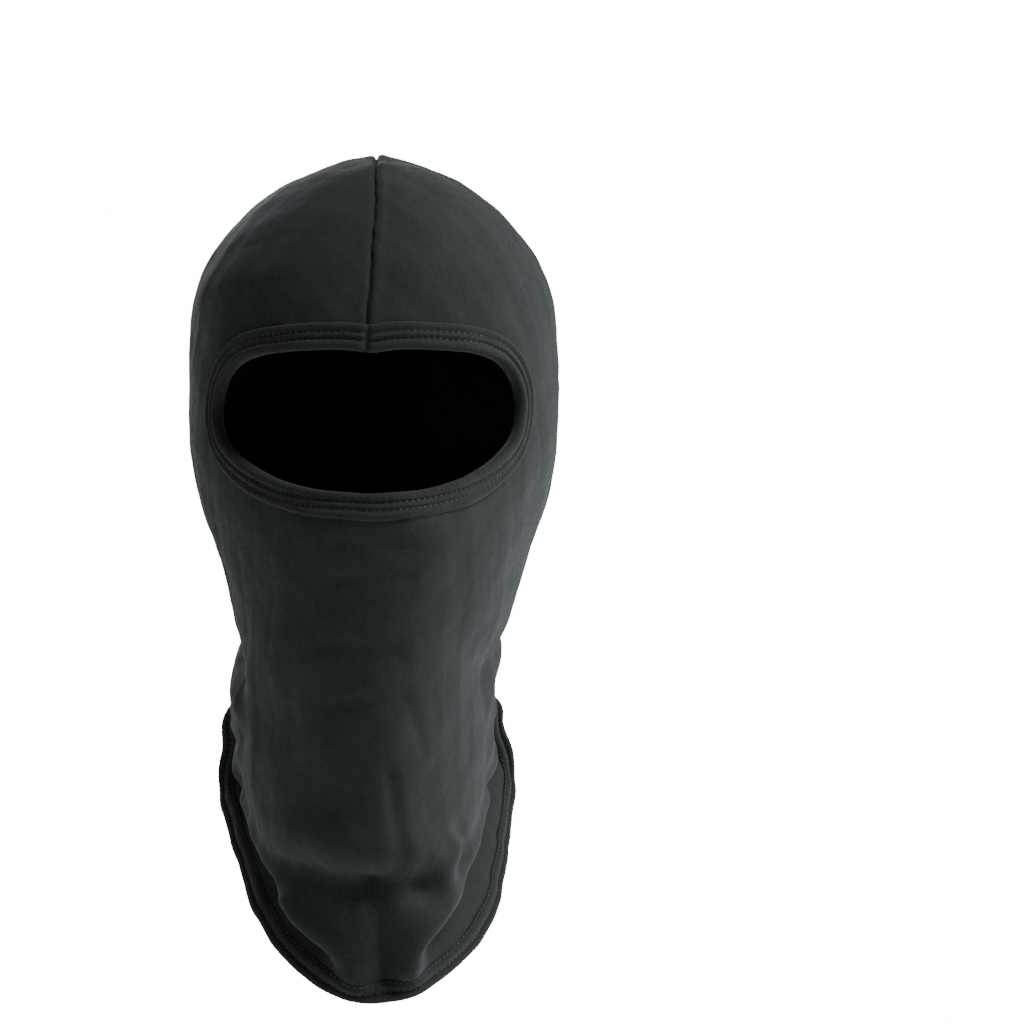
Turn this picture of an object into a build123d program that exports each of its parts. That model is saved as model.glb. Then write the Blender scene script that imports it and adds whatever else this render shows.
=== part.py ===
from build123d import *
import math
import os

# Balaclava in brushed stretch fleece, in millimetres.  +Z is up, the wearer looks along -Y
# and +X is on the wearer's left.  The origin is the centre of the head cavity, level with
# the middle of the face opening.

# ---- driving dimensions -------------------------------------------------------------------

PLY = 1.3                   # one thickness of the fleece
GAP = 0.15                  # air left between two plies that are sewn together
THREAD = 0.35               # how far a sewn thread stands up
CROWN = 128.0               # top of the crown above the origin
FORM_END = -244.0           # the lofted form closes here, below the hem
DOME_BASE = 45.0            # above this level the crown closes in as a dome

OPENING_HALF_WIDTH = 61.5   # face opening, seen from the front
OPENING_TOP = 29.0
OPENING_BOTTOM = -29.5
OPENING_DIP = 2.0           # how far the seam pulls the top edge down
OPENING_SHOULDER = -2.0     # where the straight sides turn into the curved lower edge
UPPER_CORNER = 17.0
LOWER_CORNER = 26.0
FACE_BAND = 11.0            # width of the binding round the face opening
HEM_BAND = 9.5              # width of the binding round the lower hem
RAW_EDGE = 4.4              # from the folded edge to the panel's own edge inside the fold
ELASTIC = (1.7, 4.1)        # the elastic lies between these distances from the folded edge
NEEDLE_ROWS = {"inner": 4.7, "outer": 7.6}
ROW_WIDTH = 0.6
LOOPER = (4.4, 8.4)
HEM_SHIFT = -0.8            # the hem's fold and its rows are this much narrower

ALLOWANCE = 6.5             # seam allowance, turned flat towards +X
SEAM_GROOVE = 0.7           # width of the groove that shows along the seam
SEAM_NEEDLE = 0.9           # the joining stitches run this far beside the seam
TURNED_DROP = 0.6           # the allowance lies flat while the head curves away from it
OVERLOCK = 3.4              # how much of the allowance the overlock thread covers

HEM_BACK = -101.0           # the hem crosses the back of the neck at this level
HEM_BACK_Y = 84.0
HEM_CORNER = (104.0, -138.0)    # (y, z) where the hem turns down towards the front
HEM_TIP = (-24.0, -238.0)       # (y, z) at the front
HEM_TURN = 9.0              # radius of both turns in the hem
REACH = 320.0               # longer than the object, for cutting tools

# Level, front, back, half width, y of the widest point, squareness of the front and back.
HEAD = [
    (124.0, -33.0, 43.0, 19.0, 5.0, 2.0, 2.0),
    (119.0, -50.0, 56.0, 31.0, 5.0, 2.0, 2.0),
    (111.0, -67.0, 64.0, 46.0, 5.0, 2.0, 2.0),
    (98.0, -82.0, 74.0, 60.0, 5.0, 2.1, 2.0),
    (80.0, -94.0, 84.0, 72.0, 5.0, 2.1, 2.0),
    (60.0, -101.0, 93.0, 78.0, 5.0, 2.2, 2.0),
    (35.0, -103.0, 98.0, 79.0, 5.0, 2.2, 2.0),
    (5.0, -101.0, 100.0, 78.5, 5.0, 2.2, 2.0),
    (-20.0, -106.0, 94.0, 74.0, 5.0, 2.1, 2.0),
    (-42.0, -114.0, 84.0, 67.0, 5.0, 2.0, 2.0),
    (-62.0, -107.0, 78.0, 61.0, 4.0, 2.0, 2.0),
    (-82.0, -98.0, 77.0, 57.0, 8.0, 2.1, 2.1),
]

# Below the nape the skirt opens towards the back: level, front, half width at the hem.
SKIRT = [
    (-101.0, -91.0, 58.0),
    (-118.0, -85.0, 63.0),
    (-136.0, -69.0, 64.5),
    (-156.0, -60.0, 61.0),
    (-178.0, -49.0, 56.0),
    (-200.0, -41.5, 49.0),
    (-216.0, -39.0, 38.0),
    (-227.0, -35.0, 26.0),
    (-234.0, -29.0, 17.0),
    (-240.0, -21.0, 10.0),
]
SKIRT_CAP = 12.0            # how far the lofted form goes on behind the hem, to be cut off
SECTION_POINTS = 24
FACE_STATIONS = 32          # cross-sections along each half of the face binding and the hem
HEM_STATIONS = 32
SEAM_STATIONS = 36


# ---- the worn form ---------------------------------------------------------------------------

def hem_line(z):
    """y of the hem, seen from the side, at level z."""
    if z > HEM_CORNER[1]:
        share = (HEM_BACK - z) / (HEM_BACK - HEM_CORNER[1])
        return HEM_BACK_Y + share * (HEM_CORNER[0] - HEM_BACK_Y)
    share = (HEM_CORNER[1] - z) / (HEM_CORNER[1] - HEM_TIP[1])
    return HEM_CORNER[0] + share * (HEM_TIP[0] - HEM_CORNER[0])


def stations():
    """All horizontal sections, from the crown down to the tip."""
    rows = list(HEAD)
    for level, front, half_width in SKIRT:
        widest = max(hem_line(level) + SKIRT_CAP / 3, front + SKIRT_CAP)
        rows.append((level, front, widest + SKIRT_CAP, half_width, widest, 2.2, 2.0))
    return rows


def section(station, grow):
    """Closed outline of one section, moved outwards by grow."""
    level, front, back, half_width, widest, front_power, back_power = station
    if level > DOME_BASE:
        height = CROWN - DOME_BASE
        share = (level - DOME_BASE) / height
        level += share * grow
        grow *= math.sqrt(1.0 - share * share)
    points = []
    for step in range(SECTION_POINTS):
        angle = 2 * math.pi * step / SECTION_POINTS
        ahead = -math.cos(angle)
        across = math.sin(angle)
        power = front_power if ahead < 0 else back_power
        reach = (widest - front if ahead < 0 else back - widest) + grow
        x = (half_width + grow) * math.copysign(abs(across) ** (2 / power), across)
        y = widest + reach * math.copysign(abs(ahead) ** (2 / power), ahead)
        points.append(Vector(x, y, level))
    return Wire([Edge.make_spline(points, periodic=True)])


def skin(grow):
    """Solid bounded by the worn form, moved outwards by grow."""
    top = Vertex(0, 5, CROWN + grow)
    bottom = Vertex(0, 0, FORM_END - grow)
    return Solid.make_loft([top] + [section(row, grow) for row in stations()] + [bottom])


FORM = skin(0).faces()[0]


def place(u, v):
    """u goes once round: 0 front, 0.25 the wearer's left, 0.5 back.  v goes down, 0 to 1."""
    return FORM.position_at(u % 1.0, min(max(v, 0.0), 1.0))


def outward(u, v):
    """Unit normal of the form."""
    step = 0.002
    along = place(u + step, v) - place(u - step, v)
    down = place(u, v + step) - place(u, v - step)
    return down.cross(along).normalized()


def settle(target, u, v, weight=(1, 1, 1)):
    """u, v of the place nearest to target, starting from u, v.  weight picks the axes."""
    step = 0.0005
    for _ in range(7):
        here = place(u, v)
        miss = tuple(target - here)
        by_u = tuple((place(u + step, v) - here) * (1 / step))
        by_v = tuple((place(u, v + step) - here) * (1 / step))
        uu = sum(w * p * p for w, p in zip(weight, by_u))
        uv = sum(w * p * q for w, p, q in zip(weight, by_u, by_v))
        vv = sum(w * q * q for w, q in zip(weight, by_v))
        mu = sum(w * p * m for w, p, m in zip(weight, by_u, miss))
        mv = sum(w * q * m for w, q, m in zip(weight, by_v, miss))
        det = uu * vv - uv * uv
        u += (mu * vv - mv * uv) / det
        v += (mv * uu - mu * uv) / det
    return u, v


# ---- edges of the panel -------------------------------------------------------------------------

def opening_outline():
    """The face opening seen from the front: x across and z up."""
    half, top, shoulder = OPENING_HALF_WIDTH, OPENING_TOP, OPENING_SHOULDER
    corners = [(-half, top), (0, top - OPENING_DIP), (half, top), (half, shoulder)]
    lines = Polyline(*corners) + Line((-half, shoulder), (-half, top))
    lower = ThreePointArc((half, shoulder), (0, OPENING_BOTTOM), (-half, shoulder))
    outline = make_face(lines + lower)
    outline = fillet([v for v in outline.vertices() if v.Y > top - 0.01], UPPER_CORNER)
    return fillet([v for v in outline.vertices() if abs(v.Y - shoulder) < 0.01], LOWER_CORNER)


def hem_outline():
    """Everything above the hem seen from the side: y across and z up."""
    slope = (HEM_CORNER[1] - HEM_TIP[1]) / (HEM_CORNER[0] - HEM_TIP[0])
    far_front = HEM_TIP[1] - slope * (REACH + HEM_TIP[0])
    corners = [
        (-REACH, REACH),
        (REACH, REACH),
        (REACH, HEM_BACK),
        (HEM_BACK_Y, HEM_BACK),
        HEM_CORNER,
        (-REACH, far_front),
    ]
    outline = make_face(Polyline(*corners, close=True))
    return fillet([v for v in outline.vertices() if abs(v.X) < REACH / 2], HEM_TURN)


def even_steps(points, count):
    """Positions along a chain of points at even spacing, as (index, share) pairs."""
    lengths = [0.0]
    for first, second in zip(points, points[1:]):
        lengths.append(lengths[-1] + (second - first).length)
    index = 0
    for step in range(count):
        wanted = lengths[-1] * step / (count - 1)
        while index < len(points) - 2 and lengths[index + 1] < wanted:
            index += 1
        span = lengths[index + 1] - lengths[index]
        yield index, (wanted - lengths[index]) / span


def face_edge():
    """u, v along the right half of the opening's edge, from the seam round to the chin."""
    wire = opening_outline().face().outer_wire()
    dense = [wire.position_at(k / 720) for k in range(720)]
    half = [p for p in dense if p.X >= 0]
    half.sort(key=lambda p: math.atan2(p.X, p.Y))
    half = [Vector(0, OPENING_TOP - OPENING_DIP)] + half + [Vector(0, OPENING_BOTTOM)]
    half = [p for p, q in zip(half, half[1:]) if (q - p).length > 1e-6] + [half[-1]]
    u, v = 0.01, 0.4
    edge = []
    for index, share in even_steps(half, FACE_STATIONS):
        point = half[index] + (half[index + 1] - half[index]) * share
        u, v = settle(Vector(point.X, 0, point.Y), u, v, (1, 0, 1))
        edge.append((u, v))
    return edge


def hem_edge():
    """u, v along the right half of the hem, from the seam at the back round to the tip."""
    outline = hem_outline().face()

    def crossing(u):
        high, low = 0.3, 1.0
        for _ in range(24):
            middle = (high + low) / 2
            point = place(u, middle)
            if outline.is_inside(Vector(point.Y, point.Z)):
                high = middle
            else:
                low = middle
        return high

    rows = [0.5 * (1 - k / 200) for k in range(201)]
    points = [place(u, crossing(u)) for u in rows]
    edge = []
    for index, share in even_steps(points, HEM_STATIONS):
        u = rows[index] + (rows[index + 1] - rows[index]) * share
        edge.append((u, crossing(u)))
    return edge


class Border:
    """Half of an edge, and the places at any distance from it along the form."""

    def __init__(self, edge, inwards):
        self.edge = edge
        self.points = [place(u, v) for u, v in edge]
        self.inwards = inwards      # +1 or -1: which side of the edge the cloth lies on
        self.found = {}

    def at(self, index, distance):
        """Place and outward normal at this distance from the edge."""
        if (index, distance) not in self.found:
            u, v = self.edge[index]
            first = self.points[max(index - 1, 0)]
            last = self.points[min(index + 1, len(self.points) - 1)]
            along = last - first
            if index in (0, len(self.points) - 1):
                along = Vector(along.X, 0, 0)
            across = outward(u, v).cross(along).normalized() * self.inwards
            u, v = settle(self.points[index] + across * distance, u, v)
            self.found[index, distance] = (place(u, v), outward(u, v))
        return self.found[index, distance]

    def ring(self, profile):
        """Solid with this profile all the way round, open at the centre seam.

        profile is a closed list of (distance from the edge, height above the form)."""
        half = []
        for index in range(len(self.edge)):
            corners = []
            for distance, height in profile:
                point, normal = self.at(index, distance)
                corners.append(point + normal * height)
            half.append(corners)
        clear = SEAM_GROOVE / 2
        half[0] = [Vector(clear, p.Y, p.Z) for p in half[0]]
        half[-1] = [Vector(0, p.Y, p.Z) for p in half[-1]]
        other = [[Vector(-p.X, p.Y, p.Z) for p in corners] for corners in half[-2::-1]]
        wires = [Wire.make_polygon(corners, close=True) for corners in half + other]
        return Solid.make_loft(wires, ruled=True)


# ---- the sewn pieces -------------------------------------------------------------------------------

def fold_profile(width, start, shift):
    """A strip folded round the raw edge: outer ply, rolled nose and inner ply."""
    outside = GAP + PLY
    inside = -2 * PLY - GAP
    middle = -PLY / 2
    radius = (outside - inside) / 2
    ends = (width, (width + RAW_EDGE) / 2, RAW_EDGE + shift)
    nose = []
    for angle in (60, 30, 0, -30, -60):
        turn = math.radians(angle)
        nose.append((radius * (1 - math.cos(turn)), middle + radius * math.sin(turn)))
    outer = [(d, outside) for d in ends]
    inner = [(d, inside) for d in reversed(ends)]
    pocket = [(d, -PLY - GAP) for d in ends] + [(start, -PLY - GAP)]
    pocket += [(start, GAP)] + [(d, GAP) for d in reversed(ends)]
    return outer + nose + inner + pocket


def block_profile(span, low, high):
    middle = sum(span) / 2
    return [(span[0], low), (middle, low), (span[1], low), (span[1], high), (middle, high),
            (span[0], high)]


def band_threads(border, name, shift):
    """Two needle rows on the face of a binding and the looper thread on its inner face."""
    threads = {}
    face = GAP + PLY + 0.05
    back = -2 * PLY - GAP - 0.1
    for row, start in NEEDLE_ROWS.items():
        span = (start + shift, start + shift + ROW_WIDTH)
        profile = block_profile(span, face, face + THREAD)
        threads[f"{name}_{row}_stitch_row"] = border.ring(profile)
    span = (LOOPER[0] + shift, LOOPER[1] + shift)
    threads[f"{name}_looper_thread"] = border.ring(block_profile(span, back - THREAD, back))
    return threads


def seam_path(start, end):
    """u, v along the centre seam, up the forehead, over the crown and down to the hem."""
    top_of_front = 0.06
    path = []
    for step in range(SEAM_STATIONS + 1):
        path.append((0.0, start + (top_of_front - start) * step / SEAM_STATIONS))
    for step in range(SEAM_STATIONS + 1):
        path.append((0.5, top_of_front + (end - top_of_front) * step / SEAM_STATIONS))
    return path


def seam_bar(path, profile):
    """Bar along the centre seam.  profile is a closed list of (x, height above the form)."""
    wires = []
    for u, v in path:
        point = place(u, v)
        normal = outward(u, v)
        normal = Vector(0, normal.Y, normal.Z).normalized()
        corners = [Vector(x, point.Y, point.Z) + normal * height for x, height in profile]
        wires.append(Wire.make_polygon(corners, close=True))
    return Solid.make_loft(wires, ruled=True)


def main_panel():
    """One panel, folded at the front, whose two edges meet over the crown and down the back."""
    above_hem = offset(hem_outline(), -RAW_EDGE - HEM_SHIFT, kind=Kind.INTERSECTION)
    form = skin(0) & extrude(Plane.YZ * above_hem, REACH / 2, both=True)
    form = form - extrude(Plane.XZ * offset(opening_outline(), RAW_EDGE), REACH)
    return form - skin(-PLY)


def pieces():
    face = Border(face_edge(), inwards=1)
    hem = Border(hem_edge(), inwards=-1)
    made = {
        "face_binding": face.ring(fold_profile(FACE_BAND, ELASTIC[0] - GAP, 0)),
        "face_elastic": face.ring(block_profile(ELASTIC, -PLY, 0)),
        "hem_binding": hem.ring(fold_profile(HEM_BAND, PLY, HEM_SHIFT)),
    }
    made.update(band_threads(face, "face", 0))
    made.update(band_threads(hem, "hem", HEM_SHIFT))

    brow = face.edge[0][1] - 0.055
    nape = hem.edge[0][1] - 0.05
    seam = seam_path(brow, nape)[::-1]
    under = -3 * PLY - TURNED_DROP
    turned = [
        (0.2, -PLY - GAP), (ALLOWANCE, -PLY - TURNED_DROP),
        (ALLOWANCE, under), (0.2, under),
    ]
    made["main_panel"] = Compound(children=[main_panel(), seam_bar(seam, turned)])
    top = under - 0.05
    made["seam_needle_thread"] = seam_bar(seam, [
        (SEAM_NEEDLE, top), (SEAM_NEEDLE + ROW_WIDTH, top),
        (SEAM_NEEDLE + ROW_WIDTH, top - THREAD), (SEAM_NEEDLE, top - THREAD),
    ])
    edge = ALLOWANCE + 0.05
    made["seam_overlock_thread"] = seam_bar(seam, [
        (ALLOWANCE - OVERLOCK, top), (edge, top), (edge, -PLY - 0.9),
        (edge + THREAD, -PLY - 0.9), (edge + THREAD, top - THREAD),
        (ALLOWANCE - OVERLOCK, top - THREAD),
    ])
    return made


os.makedirs("parts", exist_ok=True)
for name, solid in pieces().items():
    export_step(solid, f"parts/{name}.step")
    size = [round(side, 1) for side in solid.bounding_box().size]
    print(name, solid.is_valid, round(solid.volume), size)
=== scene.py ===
import math

import bpy
import numpy as np
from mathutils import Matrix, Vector
from mathutils.bvhtree import BVHTree


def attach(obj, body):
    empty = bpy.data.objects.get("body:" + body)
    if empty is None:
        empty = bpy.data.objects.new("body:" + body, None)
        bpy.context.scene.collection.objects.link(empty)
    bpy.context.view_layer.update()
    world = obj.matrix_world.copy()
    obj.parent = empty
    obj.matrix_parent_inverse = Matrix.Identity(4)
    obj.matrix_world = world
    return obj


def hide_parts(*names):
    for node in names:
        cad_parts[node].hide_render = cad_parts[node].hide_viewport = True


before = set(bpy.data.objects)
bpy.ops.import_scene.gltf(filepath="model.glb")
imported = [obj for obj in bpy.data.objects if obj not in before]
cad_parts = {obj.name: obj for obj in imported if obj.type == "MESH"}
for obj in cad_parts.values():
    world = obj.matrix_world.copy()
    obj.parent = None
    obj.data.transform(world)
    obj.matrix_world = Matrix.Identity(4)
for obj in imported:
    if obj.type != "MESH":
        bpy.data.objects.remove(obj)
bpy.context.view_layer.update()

MM = 0.001                      # the cloth is worked out in millimetres
rng = np.random.default_rng(11)

# ---- camera ------------------------------------------------------------------------------------

CAMERA_DISTANCE = 1.6
CAMERA_ELEVATION = math.radians(-6.0)
VIEW_WIDTH = 0.4445             # width of the picture at the object
VIEW_SHIFT = (0.137, 0.062)     # the object stands left of the middle and a little low
AIM = Vector((0.0, 0.0, -0.0535))


def link(thing):
    bpy.context.scene.collection.objects.link(thing)
    return thing


def make_camera():
    data = bpy.data.cameras.new("camera")
    data.sensor_width = 36.0
    data.lens = data.sensor_width * CAMERA_DISTANCE / VIEW_WIDTH
    data.shift_x, data.shift_y = VIEW_SHIFT
    camera = link(bpy.data.objects.new("camera", data))
    away = Vector((0, -math.cos(CAMERA_ELEVATION), math.sin(CAMERA_ELEVATION)))
    camera.location = AIM + away * CAMERA_DISTANCE
    camera.rotation_euler = (-away).to_track_quat("-Z", "Y").to_euler()
    bpy.context.scene.camera = camera


make_camera()

# ---- driving dimensions of the worn cloth, in millimetres --------------------------------------

PLY = 1.3                       # one thickness of the fleece
CROWN = 128.0
NECK = -62.0                    # below this level the cloth hangs as a bib
FACE_BAND = 11.4
HEM_BAND = 9.2
CUT_BACK = 4.9                  # the panel's raw edge lies this far inside the fold of a binding
OPENING_TOP = 29.0

# Level, front, back, half width, y of the widest point, squareness of the front and of the back.
HEAD = [
    (124, -33, 43, 19, 5, 2, 2),
    (119, -50, 56, 31, 5, 2, 2),
    (111, -67, 64, 46, 5, 2, 2),
    (98, -82, 74, 60, 5, 2.1, 2),
    (80, -94, 84, 72, 5, 2.1, 2),
    (60, -101, 93, 78, 5, 2.2, 2),
    (35, -103, 98, 79, 5, 2.2, 2),
    (5, -101, 100, 78.5, 5, 2.2, 2),
    (-20, -106, 94, 74, 5, 2.1, 2),
    (-42, -114, 84, 67, 5, 2, 2),
    (-62, -107, 78, 61, 4, 2, 2),
    (-66, -105, 77, 60, 4, 2, 2),
]
POLE = (5, 5, 0, 5, 2, 2)       # the same at the crown, where the dome closes
# The fold of the hem from the front tip round one side to the back: x, y, z.
HEM = [
    (0, -24, -238), (9, -23.4, -237.2), (17, -20, -234), (26, -10, -227), (38, 4, -216),
    (49, 25, -200), (56, 53, -178), (61.5, 81, -156.5), (64.5, 97, -143), (65, 101.5, -134),
    (64, 99, -124), (62, 93, -112), (58, 88.5, -104), (50, 88, -101), (30, 91, -101),
    (0, 92.5, -101),
]
# The edge of the face opening from the seam at the brow round one side to the chin: x, z.
OPENING = [
    (0, 26.8), (12, 28.7), (42, OPENING_TOP), (53, 26.6), (59.8, 18.0), (61.5, 9), (60.4, 1),
    (56.5, -7), (47.5, -16.2), (33.5, -24.8), (17, -30.4), (0, -32.5),
]
OPENING_WIDER = 1.045           # its other side is a little wider
# Sideways shift of the hanging cloth at a level.
LEAN = [
    (130, 0.8), (-50, 0.8), (-66, 0.6), (-98, -2.6), (-112, -1.6), (-135, -3.0), (-160, -1.8),
    (-205, 1.2), (-240, 1.4),
]
HEAD_WIDER = 0.02               # the head part is stretched wider by this share
# The front seam wanders off the mid-plane: level, sideways shift.
SEAM = [(-300, -2.6), (20, -2.6), (45, -1.6), (86, 0.9), (118, 1.7), (130, 1.7)]
SEAM_AT_BROW = -2.4
SEAM_BEHIND = 1.7               # its shift behind the crown
SEAM_DRAG = 26                  # half width of the cloth that is shifted along with it
SEAM_REACH = 12                 # its relief goes this far to each side
GROOVE_DEPTH = 1.65
GROOVE_WIDTH = 0.72
SHOULDER_HEIGHT = 0.34          # the cloth stands up a little beside the groove
SHOULDER_AWAY = 3.0
SHOULDER_WIDTH = 1.9
GATHER_HEIGHT = 0.07            # small gathers of the sewn cloth
GATHER_PITCH = 2.9
SEAM_STEADY = -20               # below this level the seam runs straight

# Soft folds of the front, in x and z: line, half width, height (valleys are negative).
FRONT_FOLDS = [
    ([(-38, -181), (-14, -189), (22, -189)], 6.5, -5.6),
    ([(-30, -166), (-4, -173), (24, -172)], 8.5, 4.4),
    ([(0, -190), (4, -208), (6, -230)], 4.6, -4.6),
    ([(36, -172), (30, -186), (22, -204), (13, -224)], 5, 4.6),
    ([(-34, -194), (-22, -210), (-8, -228)], 5.5, 3.2),
    ([(40, -166), (42, -176)], 4.5, -2.4),
    ([(-8, -198), (-6, -222)], 5, 1.4),
    ([(18, -198), (16, -220)], 5, 1.4),
    ([(37, -181), (39, -182)], 6, -2.2),
    ([(11, -145), (11.5, -182)], 3.8, -1.7),
    ([(20, -120), (24, -133)], 3, -0.8),
    ([(-40, -122), (-20, -150)], 9, -1.0),
    ([(-16, -52), (14, -53)], 3.2, -0.9),
    ([(-13, -66), (15, -65)], 3.4, -0.9),
    ([(-18, -92), (12, -95)], 4, -1.1),
    ([(-14, -116), (16, -114)], 4, -1.0),
    ([(54, -96), (58, -112)], 13, -3.0),
    ([(-58, -86), (-57, -90)], 8, -1.8),
    ([(-61, -112), (-60, -110)], 9, 3.2),
    ([(-57, -124), (-60, -124)], 5, -2.0),
]
# Soft folds of the sides, in y and z.
SIDE_FOLDS = [
    ([(58, -46), (22, -72), (-13, -98)], 7, -2.4),
    ([(66, -60), (30, -88), (0, -110)], 8, 2.0),
    ([(42, -106), (84, -118)], 5, -2.4),
    ([(40, -96), (80, -106)], 5, 1.6),
    ([(27, -139), (64, -144)], 5, -2.2),
    ([(20, -126), (60, -131)], 7, 1.6),
    ([(-30, -128), (-60, -120)], 9, -1.2),
]
SIDE_STRENGTH = (0.85, 1.1)     # how strong they are on the +X and on the -X side
# Wrinkles across the nape, in x and z.
NAPE_FOLDS = [
    ([(-44, -46), (-8, -51), (40, -44)], 4, -1.8),
    ([(-40, -56), (5, -60), (44, -55)], 5, 1.6),
    ([(-42, -68), (0, -66), (36, -71)], 4, -2.0),
    ([(-38, -76), (10, -78), (42, -75)], 4.5, 1.5),
    ([(-40, -86), (0, -88), (44, -84)], 4, -2.2),
]
# Puckers beside the seam over the crown: y, z, height.
PUCKERS = [(-65, 114, 0.9), (-50, 119, -0.8), (-36, 123, 0.9), (26, 125, 0.8), (55, 116, 0.9)]
PUCKER_X = 4
# Slight unevenness of cloth everywhere: length of a wave, height.
UNEVENNESS = [(46, 0.55), (27, 0.32), (14, 0.14)]
ABOUT_A_TURN = 6.28

HEAD_ROWS = 170
BIB_ROWS = 150
EDGE_ROWS = 4                   # rows of the surface between the panel's raw edge and the fold
SIDE_COLUMNS = 190              # columns from the front seam to the back seam
FACE_STATIONS = 560
HEM_STATIONS = 780
CUT_STATIONS = 900
# Points on the fine curves that even stations are read from.
FINE_ANGLES = 1500
FINE_DEPTHS = 900
FINE_HEM = 2000
FINE_OPENING = 700
HEM_SMOOTHING = 61              # points of the fine hem that are averaged


# ---- curves and grids --------------------------------------------------------------------------

def smooth_curve(xs, ys):
    """Function through the points that never overshoots them."""
    xs, ys = np.asarray(xs, float), np.asarray(ys, float)
    order = np.argsort(xs)
    xs, ys = xs[order], ys[order]
    step = np.diff(xs)
    slope = np.diff(ys) / step
    tangent = np.concatenate([slope[:1], np.zeros(len(slope) - 1), slope[-1:]])
    for i in range(1, len(slope)):
        a, b = slope[i - 1], slope[i]
        if a * b > 0:
            wa, wb = 2 * step[i] + step[i - 1], step[i] + 2 * step[i - 1]
            tangent[i] = (wa + wb) / (wa / a + wb / b)

    def at(x):
        x = np.clip(x, xs[0], xs[-1])
        i = np.clip(np.searchsorted(xs, x, side="right") - 1, 0, len(step) - 1)
        h = step[i]
        t = (x - xs[i]) / h
        return hermite(ys[i], ys[i + 1], tangent[i] * h, tangent[i + 1] * h, t)

    return at


def hermite(start, end, leaving, arriving, t):
    """Cubic from start to end with these end tangents."""
    return (start * (1 + 2 * t) * (1 - t) ** 2 + leaving * t * (1 - t) ** 2
            + end * t * t * (3 - 2 * t) - arriving * t * t * (1 - t))


def unit(v):
    return v / np.maximum(np.linalg.norm(v, axis=-1, keepdims=True), 1e-9)


def ramp(x, low, high):
    """Smooth step from 0 at low to 1 at high."""
    t = np.clip((x - low) / (high - low), 0, 1)
    return t * t * (3 - 2 * t)


def bell(x, half_width):
    return np.exp(-(x / half_width) ** 2)


def along(points):
    """Distance along a polyline."""
    return np.concatenate([[0], np.cumsum(np.linalg.norm(np.diff(points, axis=0), axis=1))])


def read(run, values, where):
    """Rows of values, which belong to the distances run, at other distances."""
    return np.stack([np.interp(where, run, values[:, k]) for k in range(values.shape[1])], axis=1)


def by_length(points, fractions):
    run = along(points)
    return read(run, points, fractions * run[-1])


def closed(points):
    return np.concatenate([points, points[:1]])


def around(points, count):
    """Even stations round a closed polyline that is given without its last point repeated."""
    return by_length(closed(points), np.linspace(0, 1, count, endpoint=False))


def blurred(ring, spread):
    """Rows of a ring rounded off along the first axis."""
    reach = np.arange(-int(3 * spread) - 1, int(3 * spread) + 2)
    kernel = np.exp(-(reach / spread) ** 2 / 2)
    kernel /= kernel.sum()
    out = np.zeros_like(ring)
    for share, r in zip(kernel, reach):
        out += share * np.roll(ring, r, axis=0)
    return out


def ring_tangent(points):
    return unit(np.roll(points, -1, axis=0) - np.roll(points, 1, axis=0))


def grid_normals(grid):
    """Outward unit normals of a grid that closes along its second axis."""
    sideways = np.roll(grid, -1, axis=1) - np.roll(grid, 1, axis=1)
    return unit(np.cross(np.gradient(grid, axis=0), sideways))


def grid_quads(rows, columns):
    """Faces of such a grid."""
    index = np.arange(rows * columns).reshape(rows, columns)
    right = np.roll(index, -1, axis=1)
    return np.stack([index[:-1], index[1:], right[1:], right[:-1]], axis=-1).reshape(-1, 4)


def ring_faces(stations, corners):
    """Faces of a section swept round a closed ring."""
    index = np.arange(stations * corners).reshape(stations, corners)
    ahead = np.roll(index, -1, axis=0)
    faces = np.stack([index, ahead, np.roll(ahead, -1, axis=1), np.roll(index, -1, axis=1)], axis=-1)
    return faces.reshape(-1, 4).tolist()


def bar_faces(stations, corners):
    """Faces of a section swept from one end to another, with both ends closed."""
    sides = ring_faces(stations, corners)[: (stations - 1) * corners]
    last = range((stations - 1) * corners, stations * corners)
    return sides + [list(range(corners)), list(last)[::-1]]


# ---- the worn surface --------------------------------------------------------------------------

def below_crown(z):
    """A level as the root of its depth below the crown, in which a dome is nearly straight."""
    return math.sqrt(CROWN - z)


HEAD_AT = [0.0] + [below_crown(row[0]) for row in HEAD]
HEAD_CURVES = [smooth_curve(HEAD_AT, [POLE[k]] + [row[k + 1] for row in HEAD]) for k in range(6)]
FIRST_RING = 0.25               # root depth of the small ring that the crown closes from
lean_at = smooth_curve(*zip(*LEAN))
front_seam_at = smooth_curve(*zip(*SEAM))


def head_point(angle, depth):
    """Point of the head part at an angle from the front and a root depth below the crown."""
    front, back, half, widest, front_power, back_power = (c(depth) for c in HEAD_CURVES)
    ahead = np.cos(angle) > 0
    power = np.where(ahead, front_power, back_power)
    x = half * np.sign(np.sin(angle)) * np.abs(np.sin(angle)) ** (2 / power)
    reach = np.abs(np.cos(angle)) ** (2 / power)
    y = np.where(ahead, widest + (front - widest) * reach, widest + (back - widest) * reach)
    return np.stack([x, y, CROWN - depth ** 2 + 0 * x], axis=-1)


def column_fractions():
    """Fractions of the way from the front seam to the back seam, closer together at both."""
    near = np.array([0, 0.0012, 0.0024, 0.0037, 0.005, 0.0065, 0.0082, 0.0102, 0.0125, 0.0155])
    middle = np.linspace(0.02, 0.98, SIDE_COLUMNS - 2 * len(near))
    return np.concatenate([near, middle, 1 - near[::-1]])


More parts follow.
